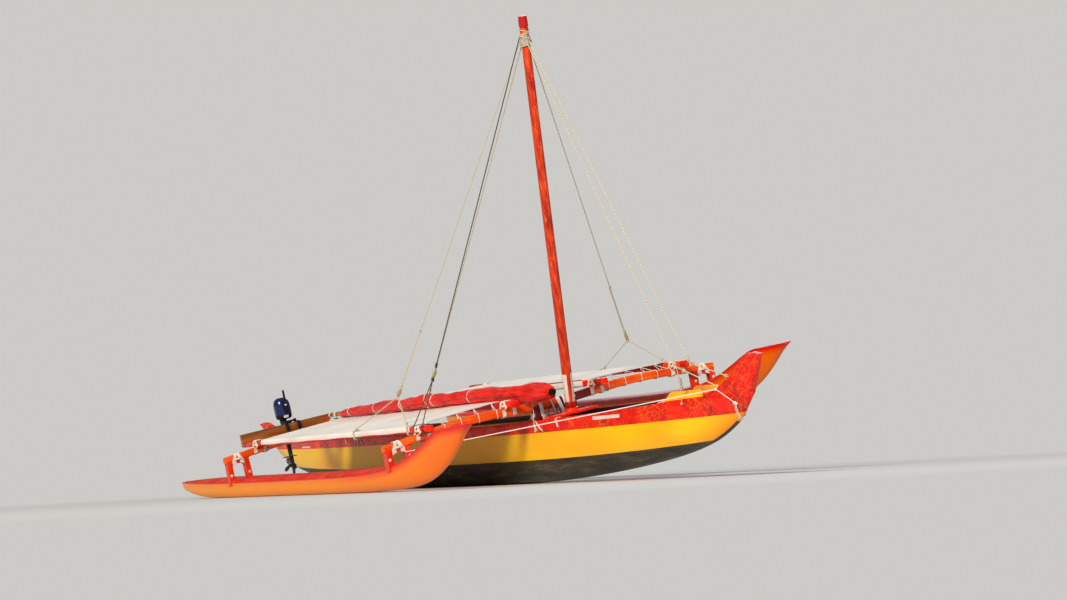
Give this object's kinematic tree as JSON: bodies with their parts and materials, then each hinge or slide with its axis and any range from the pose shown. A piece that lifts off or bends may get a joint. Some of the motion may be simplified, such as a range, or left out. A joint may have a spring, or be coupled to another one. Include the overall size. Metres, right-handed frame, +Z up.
{
  "type": "double-outrigger sailing canoe",
  "caption": "Long open sailing canoe with a float on each side, two arched crossbeams, cloth side decks, a raked stayed mast, a furled sail and an outboard motor.",
  "frame": {"origin": "centre of the bounding box in plan, at the height of the ground that the keel and the starboard float rest on", "axes": "+X towards the bow, +Y towards the port float, +Z up; the boat itself is heeled 10.7 degrees about X, port side up"},
  "size_m": [13.1446, 4.3154, 5.0534],
  "materials": {
    "hull_paint": "gloss boat paint over fibreglass: yellow middle band, red band above, black bottom below",
    "red_paint": "red and orange brushed gloss paint",
    "orange_paint": "orange gloss paint",
    "maroon_paint": "dark red gloss paint",
    "black_paint": "black satin paint",
    "varnished_wood": "varnished wood",
    "white_cloth": "tight woven deck cloth",
    "red_sailcloth": "folded sailcloth",
    "white_rope": "braided rope",
    "motor_cowl": "dark blue moulded cowl",
    "motor_black": "black paint",
    "motor_metal": "grey painted aluminium"
  },
  "bodies": {
    "boat": {"hull_bottom_bow": "hull_paint", "hull_bottom_forward": "hull_paint", "hull_bottom_after": "hull_paint", "hull_bottom_stern": "hull_paint", "hull_side_port_bow": "hull_paint", "hull_side_port_middle": "hull_paint", "hull_side_port_stern": "hull_paint", "hull_side_starboard_bow": "hull_paint", "hull_side_starboard_middle": "hull_paint", "hull_side_starboard_stern": "hull_paint", "hull_end_bow": "hull_paint", "hull_end_stern": "hull_paint", "fore_deck": "red_paint", "aft_deck": "red_paint", "bow_manu": "red_paint", "stern_manu": "red_paint", "wash_board_port": "hull_paint", "wash_board_starboard": "hull_paint", "seat_1": "varnished_wood", "seat_2": "varnished_wood", "seat_3": "varnished_wood", "seat_4": "varnished_wood", "seat_5": "varnished_wood", "seat_6": "varnished_wood", "crossbeam_front": "orange_paint", "crossbeam_rear": "orange_paint", "crossbeam_chock_front": "maroon_paint", "crossbeam_chock_rear": "maroon_paint", "float_port": "hull_paint", "float_starboard": "hull_paint", "pylon_front_port": "orange_paint", "pylon_front_starboard": "orange_paint", "pylon_rear_port": "orange_paint", "pylon_rear_starboard": "orange_paint", "stringer_inner_port": "red_paint", "stringer_inner_starboard": "red_paint", "stringer_outer_port": "red_paint", "stringer_outer_starboard": "red_paint", "trampoline_port": "white_cloth", "trampoline_starboard": "white_cloth", "mast_step": "maroon_paint", "mast_sleeve": "red_paint", "mast": "orange_paint", "mast_cap": "red_paint", "mast_lashing": "white_rope", "sail_bundle": "red_sailcloth", "boom": "black_paint", "shroud_port": "white_rope", "shroud_starboard": "white_rope", "side_stay_starboard": "white_rope", "topping_lift": "white_rope", "forestay_side": "white_rope", "forestay_bow": "white_rope", "motor_board": "varnished_wood", "clamp_bracket": "motor_metal"},
    "motor_tilt": {"swivel_bracket": "motor_metal"},
    "motor_head": {"motor_leg": "motor_black", "motor_cowl": "motor_cowl", "motor_tiller": "motor_black"},
    "propeller": {"propeller": "motor_metal"}
  },
  "joints": [
    {"name": "motor_tilt_hinge", "type": "hinge", "parent": "boat", "child": "motor_tilt", "pos_m": [-3.00267, -1.09631, 0.93884], "axis": [0, 0.9826, 0.1857], "range_deg": [0, 60]},
    {"name": "motor_steering", "type": "hinge", "parent": "motor_tilt", "child": "motor_head", "pos_m": [-3.10267, -1.06808, 0.78948], "axis": [0, -0.1857, 0.9826], "range_deg": [-40, 40]},
    {"name": "propeller_spin", "type": "hinge", "parent": "motor_head", "child": "propeller", "pos_m": [-3.28597, -0.98916, 0.37188], "axis": [1, 0, 0], "continuous": true}
  ]
}
